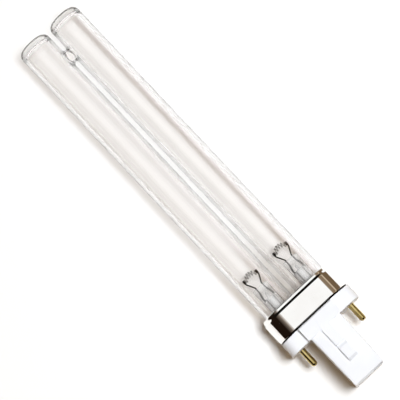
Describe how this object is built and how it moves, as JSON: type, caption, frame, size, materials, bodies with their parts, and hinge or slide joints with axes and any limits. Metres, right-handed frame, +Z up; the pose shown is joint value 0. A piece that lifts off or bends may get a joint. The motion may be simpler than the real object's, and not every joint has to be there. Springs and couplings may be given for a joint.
{
  "type": "twin-tube ultraviolet lamp",
  "caption": "Clear quartz ultraviolet lamp: parallel legs joined by a bridge near their tips, in a bright metal cap on a white plug-in base with brass contact pins and a ribbed post.",
  "frame": {"origin": "on the resting surface, under the middle of the lamp's box", "axes": "+X along the lamp from its tips to the end of its post, +Y across the legs, +Z up as it lies"},
  "size_m": [0.1668, 0.031, 0.0189],
  "materials": {
    "quartz": "clear, fire polished",
    "stem_glass": "clear, pressed",
    "cap_metal": "polished",
    "base_plastic": "moulded, half gloss",
    "pin_brass": "polished",
    "lead_wire": "drawn nickel wire",
    "filament_wire": "coiled, with a white coating",
    "cement": "matt",
    "starter_glass": "clear",
    "capacitor_dip": "dipped"
  },
  "bodies": {
    "root": {"glass_envelope": "quartz", "metal_cap": "cap_metal", "basing_cement": "cement", "base_housing": "base_plastic", "starter_bottle": "starter_glass", "suppressor_capacitor": "capacitor_dip", "left_stem": "stem_glass", "left_pin_lead": "lead_wire", "left_starter_lead": "lead_wire", "left_filament": "filament_wire", "left_contact_pin": "pin_brass", "left_capacitor_lead": "lead_wire", "right_stem": "stem_glass", "right_pin_lead": "lead_wire", "right_starter_lead": "lead_wire", "right_filament": "filament_wire", "right_contact_pin": "pin_brass", "right_capacitor_lead": "lead_wire"}
  },
  "joints": []
}
